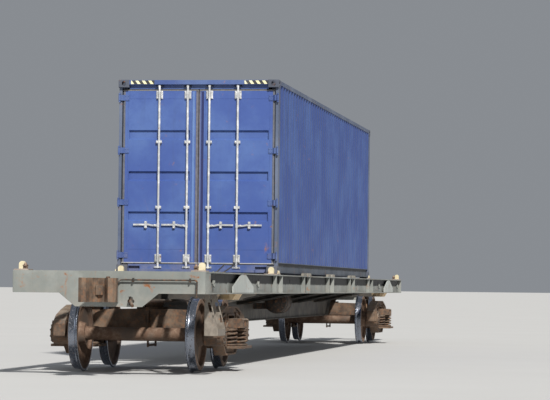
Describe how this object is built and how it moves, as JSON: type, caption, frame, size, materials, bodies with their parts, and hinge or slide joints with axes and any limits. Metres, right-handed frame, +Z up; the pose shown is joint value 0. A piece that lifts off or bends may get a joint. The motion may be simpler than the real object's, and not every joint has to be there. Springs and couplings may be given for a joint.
{
  "type": "container flatcar with container",
  "caption": "Open-frame container flatcar on three-piece bogies, loaded with one corrugated high-cube container with swinging doors.",
  "frame": {"origin": "middle of the car at the level of the wheel flanges' tips", "axes": "+X along the car from the container's doors to its closed end, +Y to the left looking along +X, +Z up"},
  "size_m": [25.9862, 2.661, 4.2399],
  "materials": {
    "frame_paint": "weathered satin grey paint",
    "bogie_iron": "rusty cast steel with brake dust",
    "wheel_steel": "rolled wheel steel with polished treads",
    "container_blue": "faded blue paint",
    "container_frame": "chalky blue-grey paint",
    "zinc": "galvanised",
    "plywood": "oiled plank floor",
    "fitting": "pale cream paint",
    "seal": "weathered grey rubber",
    "gear_black": "dusty black paint over brake gear"
  },
  "bodies": {
    "car": {"air_reservoir": "gear_black", "body_bolsters": "frame_paint", "bottom_rails": "container_frame", "brake_cylinder": "gear_black", "brake_pipe": "gear_black", "brake_rods": "gear_black", "centre_sill": "frame_paint", "container_locks": "fitting", "control_valve": "gear_black", "corner_castings": "container_frame", "corner_posts": "container_frame", "couplers": "bogie_iron", "cross_beams": "frame_paint", "door_frame": "container_frame", "end_beams": "frame_paint", "floor_beams": "container_frame", "floor_deck": "plywood", "folding_stops": "fitting", "front_wall": "container_blue", "hand_brake": "frame_paint", "hinge_pins": "container_frame", "lashing_rings": "frame_paint", "light_beams_and_braces": "frame_paint", "lock_keepers": "zinc", "pivot_plates": "bogie_iron", "roof": "container_blue", "side_sills": "frame_paint", "sill_gussets": "frame_paint", "steps_and_loops": "frame_paint", "top_rails": "container_frame", "uncoupling_levers": "gear_black", "wall_left": "container_blue", "wall_right": "container_blue"},
    "bogie_front": {"bogie_front_axle_boxes": "bogie_iron", "bogie_front_bolster": "bogie_iron", "bogie_front_brake_gear": "bogie_iron", "bogie_front_side_frames": "bogie_iron", "bogie_front_springs": "bogie_iron"},
    "bogie_rear": {"bogie_rear_axle_boxes": "bogie_iron", "bogie_rear_bolster": "bogie_iron", "bogie_rear_brake_gear": "bogie_iron", "bogie_rear_side_frames": "bogie_iron", "bogie_rear_springs": "bogie_iron"},
    "wheelset_1": {"axle_1": "wheel_steel", "wheels_1": "wheel_steel"},
    "wheelset_2": {"axle_2": "wheel_steel", "wheels_2": "wheel_steel"},
    "wheelset_3": {"axle_3": "wheel_steel", "wheels_3": "wheel_steel"},
    "wheelset_4": {"axle_4": "wheel_steel", "wheels_4": "wheel_steel"},
    "leaf_left": {"door_hinges_left": "container_blue", "door_left": "container_blue", "door_seals_left": "seal", "lock_bars_left": "zinc"},
    "leaf_right": {"door_hinges_right": "container_blue", "door_right": "container_blue", "door_seals_right": "seal", "lock_bars_right": "zinc"}
  },
  "joints": [
    {"name": "bogie_front_swivel", "type": "hinge", "parent": "car", "child": "bogie_front", "pos_m": [-9.4, 0, 0.834], "axis": [0, 0, 1], "range_deg": [-6, 6]},
    {"name": "bogie_rear_swivel", "type": "hinge", "parent": "car", "child": "bogie_rear", "pos_m": [9.4, 0, 0.834], "axis": [0, 0, 1], "range_deg": [-6, 6]},
    {"name": "wheelset_1_spin", "type": "hinge", "parent": "bogie_front", "child": "wheelset_1", "pos_m": [-10.325, 0, 0.5065], "axis": [0, 1, 0], "continuous": true},
    {"name": "wheelset_2_spin", "type": "hinge", "parent": "bogie_front", "child": "wheelset_2", "pos_m": [-8.475, 0, 0.5065], "axis": [0, 1, 0], "continuous": true},
    {"name": "wheelset_3_spin", "type": "hinge", "parent": "bogie_rear", "child": "wheelset_3", "pos_m": [8.475, 0, 0.5065], "axis": [0, 1, 0], "continuous": true},
    {"name": "wheelset_4_spin", "type": "hinge", "parent": "bogie_rear", "child": "wheelset_4", "pos_m": [10.325, 0, 0.5065], "axis": [0, 1, 0], "continuous": true},
    {"name": "leaf_left_hinge", "type": "hinge", "parent": "car", "child": "leaf_left", "pos_m": [-6.08, 1.207, 2.8], "axis": [0, 0, -1], "range_deg": [0, 270]},
    {"name": "leaf_right_hinge", "type": "hinge", "parent": "car", "child": "leaf_right", "pos_m": [-6.08, -1.207, 2.8], "axis": [0, 0, 1], "range_deg": [0, 270]}
  ]
}
